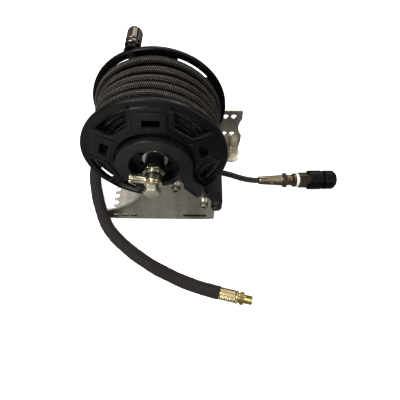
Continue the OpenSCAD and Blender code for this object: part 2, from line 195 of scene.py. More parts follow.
# ------------------------------------------------------------------ node helpers
class Mat:
    def __init__(self, name):
        self.m = bpy.data.materials.new(name)
        self.m.use_nodes = True
        self.nt = self.m.node_tree
        self.nt.nodes.clear()
        self.out = self.nt.nodes.new("ShaderNodeOutputMaterial")
        self.b = self.nt.nodes.new("ShaderNodeBsdfPrincipled")
        self.nt.links.new(self.b.outputs[0], self.out.inputs[0])
        self.coord = None

    def put(self, sock, v):
        if isinstance(v, bpy.types.NodeSocket):
            self.nt.links.new(v, sock)
        else:
            sock.default_value = v

    def obj(self, scale=(1, 1, 1), rot=(0, 0, 0)):
        if self.coord is None:
            self.coord = self.nt.nodes.new("ShaderNodeTexCoord").outputs["Object"]
        if tuple(scale) == (1, 1, 1) and tuple(rot) == (0, 0, 0):
            return self.coord
        mp = self.nt.nodes.new("ShaderNodeMapping")
        mp.inputs["Scale"].default_value = scale
        mp.inputs["Rotation"].default_value = rot
        self.nt.links.new(self.coord, mp.inputs["Vector"])
        return mp.outputs[0]

    def noise(self, vec, scale, detail=3.0, rough=0.55):
        n = self.nt.nodes.new("ShaderNodeTexNoise")
        n.inputs["Scale"].default_value = scale
        n.inputs["Detail"].default_value = detail
        n.inputs["Roughness"].default_value = rough
        self.nt.links.new(vec, n.inputs["Vector"])
        return n.outputs[0]

    def math(self, op, a, b=0.0, clamp=False):
        n = self.nt.nodes.new("ShaderNodeMath")
        n.operation = op
        n.use_clamp = clamp
        self.put(n.inputs[0], a)
        if op not in ("SINE", "ABSOLUTE", "FLOOR", "FRACT", "SQRT"):
            self.put(n.inputs[1], b)
        return n.outputs[0]

    def span(self, v, a, b, lo, hi):
        n = self.nt.nodes.new("ShaderNodeMapRange")
        self.put(n.inputs["Value"], v)
        n.inputs["From Min"].default_value = a
        n.inputs["From Max"].default_value = b
        n.inputs["To Min"].default_value = lo
        n.inputs["To Max"].default_value = hi
        return n.outputs[0]

    def mix(self, f, a, b, blend="MIX"):
        n = self.nt.nodes.new("ShaderNodeMix")
        n.data_type = "RGBA"
        n.blend_type = blend
        self.put(n.inputs[0], f)
        self.put(n.inputs[6], a if isinstance(a, bpy.types.NodeSocket) else (*a, 1))
        self.put(n.inputs[7], b if isinstance(b, bpy.types.NodeSocket) else (*b, 1))
        return n.outputs[2]

    def bump(self, h, strength, dist, normal=None):
        n = self.nt.nodes.new("ShaderNodeBump")
        n.inputs["Strength"].default_value = strength
        n.inputs["Distance"].default_value = dist
        self.put(n.inputs["Height"], h)
        if normal is not None:
            self.nt.links.new(normal, n.inputs["Normal"])
        return n.outputs[0]

    def edge(self, radius):
        bv = self.nt.nodes.new("ShaderNodeBevel")
        bv.samples = 4
        bv.inputs["Radius"].default_value = radius
        g = self.nt.nodes.new("ShaderNodeNewGeometry")
        d = self.nt.nodes.new("ShaderNodeVectorMath")
        d.operation = "DOT_PRODUCT"
        self.nt.links.new(bv.outputs[0], d.inputs[0])
        self.nt.links.new(g.outputs["Normal"], d.inputs[1])
        return self.span(d.outputs["Value"], 0.985, 0.86, 0.0, 1.0)


def surface(name, col, rough, metal=0.0, grain=2400.0, gstr=0.12, gdist=0.00006, var=0.18, rvar=0.08,
            edge=None, edge_amt=0.6, brush=None, brush_amt=0.25, coat=0.0, spec=0.5, smudge=0.0, band=None, painted_shade_dist=0.0):
    m = Mat(name)
    big = m.noise(m.obj(), 38.0, 4.0)
    dark = tuple(c * (1 - var) for c in col)
    light = tuple(min(1.0, c * (1 + var)) for c in col)
    c = m.mix(m.span(big, 0.3, 0.7, 0, 1), dark, light)
    fine = m.noise(m.obj(), grain, 2.0)
    r = m.span(big, 0.3, 0.7, rough - rvar, rough + rvar)
    h = fine
    if brush:
        st = m.noise(m.obj(scale=brush), 1.0, 3.0, 0.6)
        c = m.mix(m.math("MULTIPLY", m.span(st, 0.3, 0.7, 0, 1), brush_amt), c, tuple(min(1, x * 1.35) for x in col))
        r = m.math("ADD", r, m.span(st, 0.3, 0.7, -0.07, 0.09))
        h = m.math("ADD", m.math("MULTIPLY", fine, 0.25), st)
    if band:
        bn = m.noise(m.obj(scale=band), 1.0, 2.0, 0.5)
        c = m.mix(m.span(bn, 0.40, 0.62, 0.0, 0.75), c, tuple(x * 0.55 for x in col))
    if smudge:
        sm = m.noise(m.obj(), 11.0, 5.0, 0.65)
        r = m.math("ADD", r, m.span(sm, 0.48, 0.66, 0.0, smudge))
    if edge:
        # edges are lightened in colour and made smoother: partly wear, partly a painted highlight along ridges and rims
        e = m.edge(0.0007)
        edge_wear_and_highlight = m.math("MULTIPLY", e, m.span(m.noise(m.obj(), 260.0, 3.0), 0.36, 0.62, 0.15, 1.0))
        c = m.mix(m.math("MULTIPLY", edge_wear_and_highlight, edge_amt), c, edge)
        r = m.math("SUBTRACT", r, m.math("MULTIPLY", edge_wear_and_highlight, 0.08))
    if painted_shade_dist:
        # painted shade: the colour darkens towards a dark copy where the surface is occluded, in grooves and hollows
        ao = m.nt.nodes.new("ShaderNodeAmbientOcclusion")
        ao.samples = 6
        ao.inputs["Distance"].default_value = painted_shade_dist
        c = m.mix(m.span(ao.outputs["AO"], 0.50, 0.97, 0.92, 0.0), c, tuple(x * 0.14 for x in col))
    m.put(m.b.inputs["Base Color"], c)
    m.put(m.b.inputs["Roughness"], m.math("MAXIMUM", r, 0.04))
    m.b.inputs["Metallic"].default_value = metal
    m.b.inputs["Specular IOR Level"].default_value = spec
    m.b.inputs["Coat Weight"].default_value = coat
    m.b.inputs["Coat Roughness"].default_value = 0.12
    m.put(m.b.inputs["Normal"], m.bump(h, gstr, gdist))
    return m.m


def braid_material(name, dark, light, cells, pitch, rough, height, dots=0.5, lift=1.0, sheen=0.0, spec=0.4, power=1.0, painted_shade_dist=0.0):
    """Crossing strands from the braid UV: over-and-under pillows with a lighter tracer; the crest of each pillow is
    lightened as a painted highlight.
    """
    m = Mat(name)
    uv = m.nt.nodes.new("ShaderNodeUVMap")
    uv.uv_map = "braid"
    sep = m.nt.nodes.new("ShaderNodeSeparateXYZ")
    m.nt.links.new(uv.outputs[0], sep.inputs[0])
    u = m.math("MULTIPLY", sep.outputs[0], 1.0 / pitch)
    v = m.math("MULTIPLY", sep.outputs[1], float(cells))
    a = m.math("ADD", v, u)
    b = m.math("SUBTRACT", v, u)
    sa = m.math("SINE", m.math("MULTIPLY", a, math.pi))
    sb = m.math("SINE", m.math("MULTIPLY", b, math.pi))
    prod = m.math("MULTIPLY", sa, sb)
    pillow = m.math("POWER", m.math("ABSOLUTE", prod), power)
    over = m.span(prod, -0.08, 0.08, 0.0, 1.0)
    fil = m.math("SINE", m.math("MULTIPLY", m.math("ADD", m.math("MULTIPLY", a, over), m.math("MULTIPLY", b, m.math("SUBTRACT", 1.0, over))), math.pi * 8))
    cell = m.nt.nodes.new("ShaderNodeCombineXYZ")
    m.nt.links.new(m.math("FLOOR", a), cell.inputs[0])
    m.nt.links.new(m.math("FLOOR", b), cell.inputs[1])
    wn = m.nt.nodes.new("ShaderNodeTexWhiteNoise")
    wn.noise_dimensions = "2D"
    m.nt.links.new(cell.outputs[0], wn.inputs["Vector"])
    rnd = m.span(wn.outputs[0], 0.0, 1.0, 0.65, 1.0)
    # pillow crests are lightened towards the light colour: the tracer strands, and a painted highlight on every crest
    tracer_and_crest_highlight = m.math("MULTIPLY", m.math("MULTIPLY", pillow, rnd), m.math("ADD", m.math("MULTIPLY", over, dots), 1.0 - dots))
    big = m.noise(m.obj(), 30.0, 3.0)
    c = m.mix(m.math("MULTIPLY", tracer_and_crest_highlight, lift, True), dark, light)
    c = m.mix(m.span(big, 0.35, 0.7, 0.0, 0.35), c, dark)
    if painted_shade_dist:
        # painted shade: the colour darkens where neighbouring wraps occlude each other
        ao = m.nt.nodes.new("ShaderNodeAmbientOcclusion")
        ao.samples = 6
        ao.inputs["Distance"].default_value = painted_shade_dist
        c = m.mix(m.span(ao.outputs["AO"], 0.38, 0.95, 0.92, 0.0), c, tuple(x * 0.3 for x in dark))
    m.put(m.b.inputs["Base Color"], c)
    m.put(m.b.inputs["Roughness"], m.span(big, 0.3, 0.7, rough - 0.06, rough + 0.08))
    m.b.inputs["Sheen Weight"].default_value = sheen
    m.b.inputs["Specular IOR Level"].default_value = spec
    hh = m.math("ADD", pillow, m.math("MULTIPLY", fil, 0.08))
    m.put(m.b.inputs["Normal"], m.bump(hh, 0.9, height))
    return m.m


# ------------------------------------------------------------------ materials
# the light edge colour paints highlights along the flange's ridges and rims
PLASTIC = surface("flange_plastic", (0.0022, 0.0022, 0.0023), 0.26, grain=1900, gstr=0.20, gdist=0.00007,
                  edge=(0.085, 0.083, 0.078), edge_amt=0.7, rvar=0.05, smudge=0.12, spec=0.16)
# painted shade: the rear flange is a darker, less shiny copy of the flange plastic
PLASTIC_REAR_SHADE = surface("rear_flange_plastic_painted_shade", (0.0014, 0.0014, 0.0015), 0.30, grain=1900, gstr=0.20, gdist=0.00007, edge=(0.05, 0.05, 0.05), edge_amt=0.4, spec=0.07)
PLASTIC_DARK = surface("core_plastic", (0.004, 0.004, 0.0045), 0.5, gstr=0.2, edge=(0.02, 0.02, 0.02), edge_amt=0.4, spec=0.15)
GUIDE = surface("guide_nylon", (0.0036, 0.0035, 0.0033), 0.38, grain=1500, gstr=0.25, edge=(0.05, 0.048, 0.044), edge_amt=0.5, spec=0.22)
ARM = surface("arm_paint", (0.0060, 0.0060, 0.0062), 0.30, grain=900, gstr=0.10, gdist=0.0001, var=0.10, rvar=0.04,
              edge=(0.07, 0.07, 0.068), edge_amt=0.45, coat=0.03, spec=0.26)
STEEL = surface("brushed_stainless", (0.53, 0.492, 0.415), 0.33, 1.0, brush=(14.0, 1500.0, 1500.0), brush_amt=0.5, gstr=0.22,
                gdist=0.00005, var=0.12, edge=(0.80, 0.78, 0.72), edge_amt=0.7, smudge=0.10, band=(30.0, 0.6, 1.4))
STEEL_SHADE = surface("stainless_in_the_slots", (0.035, 0.031, 0.025), 0.5, 1.0, gstr=0.1, var=0.2)
# painted highlight: a much lighter stainless for the upward-facing foot of the bracket
STEEL_FOOT_HIGHLIGHT = surface("stainless_foot_painted_highlight", (0.90, 0.84, 0.72), 0.24, 1.0, gstr=0.08, var=0.06)
# painted shade: a dark brown stainless for the bend above the foot
STEEL_BEND_SHADE = surface("stainless_bend_painted_shade", (0.21, 0.155, 0.085), 0.30, 1.0, gstr=0.08, var=0.12)
NICKEL = surface("nickel_plate", (0.66, 0.59, 0.43), 0.15, 1.0, grain=700, gstr=0.05, var=0.2, rvar=0.05,
                 edge=(0.92, 0.88, 0.76), edge_amt=0.5, smudge=0.10)
NICKEL_FACE = surface("nickel_plate_satin", (0.60, 0.55, 0.43), 0.24, 1.0, grain=700, gstr=0.08, var=0.16, rvar=0.05,
                      edge=(0.92, 0.88, 0.76), edge_amt=0.6, smudge=0.10)
# NICKEL_WARM, NICKEL_DARK, CRIMP and SCREW darken their colour in occluded hollows as painted shade
NICKEL_WARM = surface("nickel_warm", (0.185, 0.148, 0.100), 0.12, 1.0, grain=700, gstr=0.04, var=0.25, rvar=0.04,
                      edge=(0.70, 0.62, 0.50), edge_amt=0.5, smudge=0.06, painted_shade_dist=0.0012)
# its light edge colour paints glints on the nut and adapter edges
NICKEL_DARK = surface("nickel_tarnished", (0.115, 0.086, 0.054), 0.11, 1.0, grain=700, gstr=0.04, var=0.35, rvar=0.04,
                      edge=(0.80, 0.70, 0.55), edge_amt=0.7, smudge=0.06, painted_shade_dist=0.0015)
NICKEL_MID = surface("nickel_aged", (0.36, 0.33, 0.25), 0.18, 1.0, grain=700, gstr=0.04, var=0.2, rvar=0.04,
                     edge=(0.62, 0.58, 0.48), edge_amt=0.4, smudge=0.06)
KNOB = surface("knob_nickel", (0.075, 0.060, 0.046), 0.20, 1.0, grain=1200, gstr=0.08, var=0.2, rvar=0.05,
               edge=(0.40, 0.34, 0.28), edge_amt=0.35, smudge=0.08)
BRASS = surface("brass", (0.50, 0.37, 0.13), 0.20, 1.0, grain=900, gstr=0.06, var=0.16, rvar=0.05,
                edge=(0.92, 0.80, 0.48), edge_amt=0.6, smudge=0.08)
CRIMP = surface("crimped_brass", (0.54, 0.425, 0.235), 0.25, 1.0, grain=900, gstr=0.02, var=0.10, rvar=0.02,
                edge=(0.85, 0.72, 0.48), edge_amt=0.15, painted_shade_dist=0.0022)
SCREW = surface("screw_zinc", (0.44, 0.40, 0.32), 0.20, 1.0, grain=1100, gstr=0.03, var=0.14, rvar=0.04,
                edge=(0.85, 0.80, 0.70), edge_amt=0.6, painted_shade_dist=0.0025)
SCREW_DARK = surface("screw_black", (0.022, 0.022, 0.023), 0.36, 0.6, grain=1300, gstr=0.08, edge=(0.2, 0.2, 0.2), edge_amt=0.4, spec=0.3)
# the light edge colour paints a highlight ring round the dark pin heads
PIN = surface("pin_steel", (0.085, 0.082, 0.075), 0.30, 1.0, grain=1300, gstr=0.08, edge=(0.75, 0.73, 0.66), edge_amt=1.0)
WASHER = surface("washer_bright", (0.78, 0.77, 0.74), 0.22, 1.0, grain=900, gstr=0.05, var=0.05)
SHAFT = surface("shaft_black", (0.0025, 0.0025, 0.0028), 0.30, grain=900, gstr=0.06, edge=(0.02, 0.02, 0.02), edge_amt=0.3, spec=0.2)
NYLON = surface("nylon_white", (0.80, 0.785, 0.75), 0.42, grain=1400, gstr=0.12, var=0.05, edge=(0.9, 0.88, 0.84), edge_amt=0.3)
ACETAL = surface("acetal_black", (0.006, 0.006, 0.0062), 0.38, grain=1500, gstr=0.12, edge=(0.03, 0.03, 0.03), edge_amt=0.4, spec=0.25)
COUPLER = surface("coupler_anodised", (0.0016, 0.0015, 0.0014), 0.26, grain=1500, gstr=0.08, var=0.2, rvar=0.05,
                  edge=(0.13, 0.12, 0.11), edge_amt=0.55, spec=0.11)
COPPER = surface("seal_copper", (0.46, 0.33, 0.16), 0.3, 1.0, grain=900, gstr=0.06)
# BRAID's light colour paints the tracer and a highlight on every pillow crest
BRAID = braid_material("braided_cover", (0.0036, 0.0030, 0.0023), (0.80, 0.74, 0.64), 7, 0.0027, 0.55, 0.0006, dots=0.5, lift=0.95, spec=0.06, power=6.5, painted_shade_dist=0.014)
SLEEVE = braid_material("woven_sleeve", (0.0075, 0.0062, 0.0056), (0.036, 0.031, 0.029), 22, 0.0028, 0.75, 0.0003, dots=0.35, lift=1.0, sheen=0.03, spec=0.12, power=0.9)

# ------------------------------------------------------------------ cords first
OUT = [[-4, 51, 44.4], [10, 51, 44.1], [24, 50.9, 43.8], [38, 50.7, 43.4], [50, 50.5, 43],
       [62, 50.1, 42.6], [75, 49.6, 42.1], [88, 49, 41.5], [98, 48.7, 39.8], [108, 48.3, 37.3],
       [118, 47.8, 33.8], [128, 47.4, 29.4], [138, 47.4, 25.2], [148, 48, 21.2], [158, 48.8, 18.3],
       [167, 49.5, 17.2]]
LEAD = [[-117, 158, 10.1], [-122, 138, 10.1], [-126, 118, 10.1], [-128.5, 95, 10.1],
        [-128, 70, 10.1], [-124, 48, 10.1], [-118.5, 28, 10.1], [-111, 6, 10.1],
        [-101.5, -17, 10.1], [-88, -43, 10.1], [-70, -64, 10.1], [-50, -81.5, 10.1],
        [-30, -96.5, 10.1], [-8, -110.5, 10.1], [15, -122.5, 10.1], [38, -133, 10.1],
        [61, -141.4, 10.1], [92.5, -150, 10.1]]
out_line = smooth([[c * MM for c in p] for p in OUT], 12)
lead_line = smooth([[c * MM for c in p] for p in LEAD], 12)


def length(line):
    return float(np.sum(np.linalg.norm(np.diff(line, axis=0), axis=1)))


def braid_disp(cells, pitch, amp):
    def f(s, th):
        a = th / (2 * np.pi) * cells + s / pitch
        b = th / (2 * np.pi) * cells - s / pitch
        return amp * (np.abs(np.sin(np.pi * a) * np.sin(np.pi * b)) ** 0.6 - 0.6)
    return f


tail = new_object("delivery_tail", tube_mesh("delivery_tail", respaced(out_line, 0.00055), 0.0049, 56,
                  disp=braid_disp(7, 0.0027, 0.00018)), BRAID, "stand", ("outlet_hose",), sharp=0)


def sleeve_disp(s, th):
    w = 0.00016 * np.sin(s * 140 + 2 * np.sin(th)) + 0.00012 * np.sin(s * 410 + 3 * th)
    return w + 0.00006 * np.sin(th * 23 + s * 1500) * np.sin(th * 23 - s * 1500)


lead = new_object("lead_in_hose", tube_mesh("lead_in_hose", respaced(lead_line, 0.0012), 0.0099, 72, disp=sleeve_disp),
                  SLEEVE, "stand", ("lead_hose",), sharp=0)

# ------------------------------------------------------------------ CAD nodes: edges and finish
def dress(name, mat, w=0.4, seg=2, angle=33.0, flat=True):
    o = N[name]
    me = o.data
    for key in ("custom_normal", "sharp_edge", "sharp_face"):
        if key in me.attributes:
            me.attributes.remove(me.attributes[key])
    for p in me.polygons:
        p.use_smooth = True
    if len(me.materials) == 0:
        me.materials.append(mat)
    for i in range(len(me.materials)):
        me.materials[i] = mat
    wd = o.modifiers.new("weld", "WELD")
    wd.merge_threshold = 0.000004
    if w > 0:
        # merging flat faces round a hole can leave a skin across it, so pierced plates keep their triangles
        if flat:
            dc = o.modifiers.new("flat", "DECIMATE")
            dc.decimate_type = "DISSOLVE"
            dc.angle_limit = math.radians(0.6)
        bv = o.modifiers.new("edges", "BEVEL")
        bv.width = w * MM
        bv.segments = seg
        bv.limit_method = "ANGLE"
        bv.angle_limit = math.radians(angle)
        bv.use_clamp_overlap = False
        bv.harden_normals = True
        bv.miter_outer = "MITER_ARC"
    return o


bracket = dress("mounting_bracket", STEEL, 0.35)
# the walls inside the small slots see little light
bracket.data.materials.append(STEEL_SHADE)
shade = len(bracket.data.materials) - 1
to_world = bracket.matrix_world
for poly in bracket.data.polygons:
    c0 = to_world @ poly.center
    if abs(poly.normal.y) < 0.5 and -0.0231 < c0.y < -0.0199 and 0.0115 < c0.z < 0.0195 and (c0.x > 0.034 and c0.x < 0.075 or c0.x < -0.036 and c0.x > -0.082):
        poly.material_index = shade
# painted highlight: the upward-facing foot gets the much lighter stainless
bracket.data.materials.append(STEEL_FOOT_HIGHLIGHT)
foot = len(bracket.data.materials) - 1
for poly in bracket.data.polygons:
    c0 = to_world @ poly.center
    if poly.normal.z > 0.9 and c0.x > 0.0985 and c0.y < 0.139 and c0.z < 0.012:
        poly.material_index = foot
# painted shade: the bend above the foot gets the dark brown stainless
bracket.data.materials.append(STEEL_BEND_SHADE)
bend = len(bracket.data.materials) - 1
for poly in bracket.data.polygons:
    c0 = to_world @ poly.center
    if 0.15 < poly.normal.z < 0.97 and poly.normal.y < -0.15 and c0.x > 0.05 and c0.y > 0.137 and c0.z < 0.008:
        poly.material_index = bend
dress("support_arm", ARM, 0.8, 3)
dress("arm_screws", SCREW, 0.5, 3)
dress("arm_washers", WASHER, 0.3)
dress("sleeve_end_plate", ACETAL, 0.4)
dress("shaft_washer", WASHER, 0.25)
dress("sleeve_retaining_ring", SCREW_DARK, 0.2)
dress("guide_front_bracket", GUIDE, 1.0, 3)
dress("guide_rear_bracket", GUIDE, 1.0, 3)
dress("guide_tie_bar", GUIDE, 0.8, 3)
tiny = dress("guide_screws", SCREW_DARK, 0.2)
# the screw on the covering plate is bright
tiny.data.materials.append(WASHER)
for poly in tiny.data.polygons:
    c0 = tiny.matrix_world @ poly.center
    if c0.z > 0.0535 and c0.x < 0.085:
        poly.material_index = len(tiny.data.materials) - 1
dress("roller_pins", PIN, 0.5)
dress("upper_roller", ACETAL, 0.4)
dress("lower_roller", ACETAL, 0.4)
dress("ear_screw", NICKEL_FACE, 0.3, 2)
dress("front_flange", PLASTIC, 0.5, 2, flat=False)
dress("rear_flange", PLASTIC_REAR_SHADE, 0.5, 2, flat=False)
dress("drum_core", PLASTIC_DARK, 0.4)
dress("drum_bushes", ACETAL, 0.3)
dress("tie_bolts", SCREW_DARK, 0.25)
dress("rear_cover", PLASTIC, 0.5, 2, flat=False)
dress("rear_cover_screws", SCREW_DARK, 0.3)
dress("swivel_shaft", SHAFT, 0.5, 3)
dress("shaft_nut", NICKEL_WARM, 0.5, 3)
dress("inner_elbow", BRASS, 0.6, 3)
dress("inlet_hex", NICKEL_MID, 0.6, 3)
dress("banjo_bolt", NICKEL_FACE, 0.7, 3)
dress("banjo_seals", COPPER, 0.1)
dress("inlet_banjo", NICKEL, 0.3, 2, flat=False)
dress("handle_boss", PLASTIC, 0.6, 3)
dress("handle_screw", SCREW_DARK, 0.3)
dress("handle_spindle", KNOB, 0.4)
dress("handle_grip", KNOB, 0.4)
dress("handle_end_cap", KNOB, 0.8, 4)
dress("outlet_nut", NICKEL_DARK, 0.25, 2, flat=False)
dress("seal_washer", NYLON, 0.4, 3)
dress("coupler_adapter", NICKEL_DARK, 0.6, 3)
dress("coupler_body", COUPLER, 0.6, 3)
dress("lead_swivel_nut", BRASS, 0.5, 3)

# ------------------------------------------------------------------ wound hose
AXIS = np.array([0, 0, H])


def wrap_point(phi, r, y):
    return [r * math.cos(phi) * MM, y * MM, H + r * math.sin(phi) * MM]


def wound_line():
    """The whole stored length: three full layers, five outer wraps, and the last turn that crosses down to the tail."""
    pts = []
    deg = math.radians
    phi = deg(-92.5 - 360 * 31)
    step = deg(6)
    layers = [(59.3, 88.4, 12.1, 8.0), (68.3, 12.1, 88.4, 8.0), (77.0, 88.4, 12.1, 8.0)]
    r_prev = layers[0][0]
    for r, ya, yb, turns in layers:
        n = int(round(turns * 60))
        for i in range(n):
            f = i / n
            rr = r if f > 0.04 else r_prev + (r - r_prev) * (0.5 - 0.5 * math.cos(math.pi * f / 0.04))
            if r > 76 and 0.04 < f < 0.125:
                rr = r + 1.4 * math.sin(math.pi * (f - 0.04) / 0.085) ** 0.5
            # the first and last turns lie against the flanges before the next one steps over
            y = ya + (yb - ya) * min(1.0, max(0.0, (f * turns - 0.8) / (turns - 1.6)))
            pts.append(wrap_point(phi, rr, y))
            phi += step
        r_prev = r
    # outer wraps: y at the top of each successive turn, taken from the way the pack lies
    tops = [14.0, 27.6, 41.6, 55.2, 71.2, 88.6]
    keys = []
    start = phi
    # phase of the first top after the start
    k0 = math.ceil((start - deg(90)) / (2 * math.pi) - 1e-9)
    tphi = deg(90) + 2 * math.pi * k0
    keys.append((start, 12.1, 77.5))
    for i, y in enumerate(tops):
        r = 85.2 if i < 5 else 88.0
        keys.append((tphi + 2 * math.pi * i, y, r))
        if i == 0:
            # the first outer turn stays against the front flange round the underside
            keys += [(tphi + deg(60), 12.6, 86.4), (tphi + deg(150), 12.0, 88.5), (tphi + deg(230), 14.5, 87.6)]
    last = tphi + 2 * math.pi * 5
    keys.append((last + deg(75), 84.0, 90.0))
    keys.append((last + deg(130), 66.0, 95.0))
    keys.append((last + deg(177.5), 51.0, 95.6))
    kp = np.array([k[0] for k in keys])
    ky = np.array([k[1] for k in keys])
    kr = np.array([k[2] for k in keys])

    def ease(p, kv):
        i = min(max(np.searchsorted(kp, p) - 1, 0), len(kp) - 2)
        t = (p - kp[i]) / (kp[i + 1] - kp[i])
        t = min(max(t, 0), 1)
        if kv is kr:
            t = t * t * (3 - 2 * t)
        return kv[i] + (kv[i + 1] - kv[i]) * t

    while phi < kp[-1]:
        wob = 0.35 * math.sin(phi * 1.7) + 0.25 * math.sin(phi * 0.61 + 1)
        fade = min(1.0, (kp[-1] - phi) / 1.0)
        pts.append(wrap_point(phi, ease(phi, kr) + 0.2 * fade * math.sin(phi * 2.3), ease(phi, ky) + wob * fade))
        phi += step
    pts.append(wrap_point(kp[-1], 95.6, 51.0))
    return pts


wl = smooth(wound_line(), 2)
wound_length = length(wl)
wound = new_object("stored_hose", tube_mesh("stored_hose", respaced(wl, 0.0042), 0.00495, 20), BRAID, "drum",
                   ("wound_hose",), sharp=0)

# ------------------------------------------------------------------ flange relief
def web_y(r):
    """Front face of the flange web, mm."""
    return -9.6 + (min(max(r, 57.6), 90.0) - 57.6) * 6.2 / 32.4


def place(p2, h, rear):
    """A point over the web: p2 in flange coordinates (x, z from the axis), h above the web's face."""
    y = web_y(math.hypot(*p2)) - h
    if rear:
        y = 100 - y
    return (p2[0] * MM, y * MM, H + p2[1] * MM)


def rot2(p, a):
    c, s = math.cos(a), math.sin(a)
    return (p[0] * c - p[1] * s, p[0] * s + p[1] * c)


def rounded(path, r, n=5):
    out = [path[0]]
    for a, b, c in zip(path, path[1:], path[2:]):
        A, B, C = Vector(a), Vector(b), Vector(c)
        u, v = (A - B).normalized(), (C - B).normalized()
        d = min(r, (A - B).length * 0.45, (C - B).length * 0.45)
        p, q = B + u * d, B + v * d
        for i in range(n + 1):
            t = i / n
            out.append(tuple(p * (1 - t) ** 2 + B * 2 * t * (1 - t) + q * t * t))
    out.append(path[-1])
    return out


def subdivide(path, step):
    out = []
    for a, b in zip(path, path[1:]):
        d = math.hypot(b[0] - a[0], b[1] - a[1])
        n = max(1, int(d / step))
        out += [(a[0] + (b[0] - a[0]) * i / n, a[1] + (b[1] - a[1]) * i / n) for i in range(n)]
    out.append(path[-1])
    return out


def ridge(path, profile, rear, verts, faces):
    """Raised moulding along a path; profile is a list of (offset, height)."""
    n = len(path)
    m = len(profile)
    base = len(verts)
    for i, p in enumerate(path):
        a = path[max(i - 1, 0)]
        b = path[min(i + 1, n - 1)]
        t = Vector((b[0] - a[0], b[1] - a[1])).normalized()
        nrm = (-t.y, t.x)
        for o, h in profile:
            verts.append(place((p[0] + nrm[0] * o, p[1] + nrm[1] * o), h, rear))
    for i in range(n - 1):
        for j in range(m):
            k = (j + 1) % m
            faces.append((base + i * m + j, base + i * m + k, base + (i + 1) * m + k, base + (i + 1) * m + j))
    faces.append(tuple(base + j for j in range(m)))
    faces.append(tuple(base + (n - 1) * m + j for j in range(m - 1, -1, -1)))


OFF = math.radians(-1.5)


def flange_relief(name, rear):
    verts, faces = [], []
    s36, c36 = math.sin(math.pi / 5), math.cos(math.pi / 5)
    prof = [(-2.35, -0.8), (-2.35, 1.3), (-1.9, 1.75), (1.9, 1.75), (2.35, 1.3), (2.35, -0.8)]
    for k in range(5):
        # frame round three sides of a window
        w = lambda r, d: (r * s36 - d) / c36
        d = 25.6
        pin = 65.6
        path = [(-w(85.6, d), 85.6), (-w(pin, d), pin), (w(pin, d), pin), (w(85.6, d), 85.6)]
        path = subdivide(rounded(path, 3.0), 1.6)
        a = math.radians(54 + 72 * k) + OFF - math.pi / 2
        ridge([rot2(p, a) for p in path], prof, rear, verts, faces)
        # raised pad on each spoke, with its opening
        a = math.radians(90 + 72 * k) + OFF - math.pi / 2
        ts = [-20.8, -20.0] + [-11.5 - 8.5 * (1 - i / 5) for i in range(1, 5)] + [-11.5] + [-11.5 + 23 * i / 10 for i in range(1, 10)] + [11.5] + [11.5 + 8.5 * i / 5 for i in range(1, 5)] + [20.0, 20.8]
        us = [0, 0.02, 0.09, 0.17, 0.27, 0.37, 0.47, 0.57, 0.60, 0.7, 0.8, 0.9, 0.97, 1.0]
        r_in, r_out = 59.4, 85.6

        def pad_r(t, u):
            hi = math.sqrt(r_out ** 2 - t * t)
            lo = math.sqrt(max(r_in ** 2 - t * t * 0.6, 0))
            z0, z1 = 62.8, 75.3
            if u <= 0.17:
                return lo + (z0 - lo) * u / 0.17
            if u <= 0.60:
                return z0 + (z1 - z0) * (u - 0.17) / 0.43
            return z1 + (hi - z1) * (u - 0.60) / 0.40
        grid = {}
        hgt = {}
        for i, t in enumerate(ts):
            for j, u in enumerate(us):
                edge = i in (0, len(ts) - 1) or j in (0, len(us) - 1)
                h = 1.35 if edge else 1.8
                grid[i, j] = len(verts)
                verts.append(place(rot2((t, pad_r(t, u)), a), h, rear))
        cells = set()
        for i in range(len(ts) - 1):
            for j in range(len(us) - 1):
                if ts[i] >= -11.51 and ts[i + 1] <= 11.51 and us[j] >= 0.169 and us[j + 1] <= 0.601:
                    continue
                cells.add((i, j))
                faces.append((grid[i, j], grid[i + 1, j], grid[i + 1, j + 1], grid[i, j + 1]))
        # walls down into the web
        under = {}

        def low(i, j):
            if (i, j) not in under:
                under[i, j] = len(verts)
                verts.append(place(rot2((ts[i], pad_r(ts[i], us[j])), a), -0.8, rear))
            return under[i, j]
        for i, j in cells:
            for (p, q), nb in ((((i, j), (i + 1, j)), (i, j - 1)), (((i + 1, j), (i + 1, j + 1)), (i + 1, j)),
                               (((i + 1, j + 1), (i, j + 1)), (i, j + 1)), (((i, j + 1), (i, j)), (i - 1, j))):
                if nb not in cells:
                    faces.append((grid[q], grid[p], low(*p), low(*q)))
            faces.append((low(i, j), low(i, j + 1), low(i + 1, j + 1), low(i + 1, j)))
    # raised lip where the web meets the hub
    ring = [(56.1 * math.cos(2 * math.pi * i / 120), 56.1 * math.sin(2 * math.pi * i / 120)) for i in range(121)]
    ridge(ring, [(-1.2, -0.6), (-1.2, 0.5), (-0.8, 0.8), (0.8, 0.8), (1.2, 0.5), (1.2, -0.6)], rear, verts, faces)
    me = bpy.data.meshes.new(name)
    me.from_pydata(verts, [], faces)
    tidy(me)
    return new_object(name, me, PLASTIC, "drum", sharp=38)


flange_relief("front_flange_relief", False)
flange_relief("rear_flange_relief", True)

# ------------------------------------------------------------------ handle
HM = axis_matrix((-0.030, 0, 0.228), (0, 1, 0))


def flutes(count, depth, lo, hi):
    def f(x, t, r):
        if lo < x < hi and r > 7:
            return r - depth * (0.5 - 0.5 * math.cos(count * t + 0.5)) ** 0.8 * min(1.0, (x - lo) / 1.2, (hi - x) / 1.2 + 0.2)
        return r
    return f


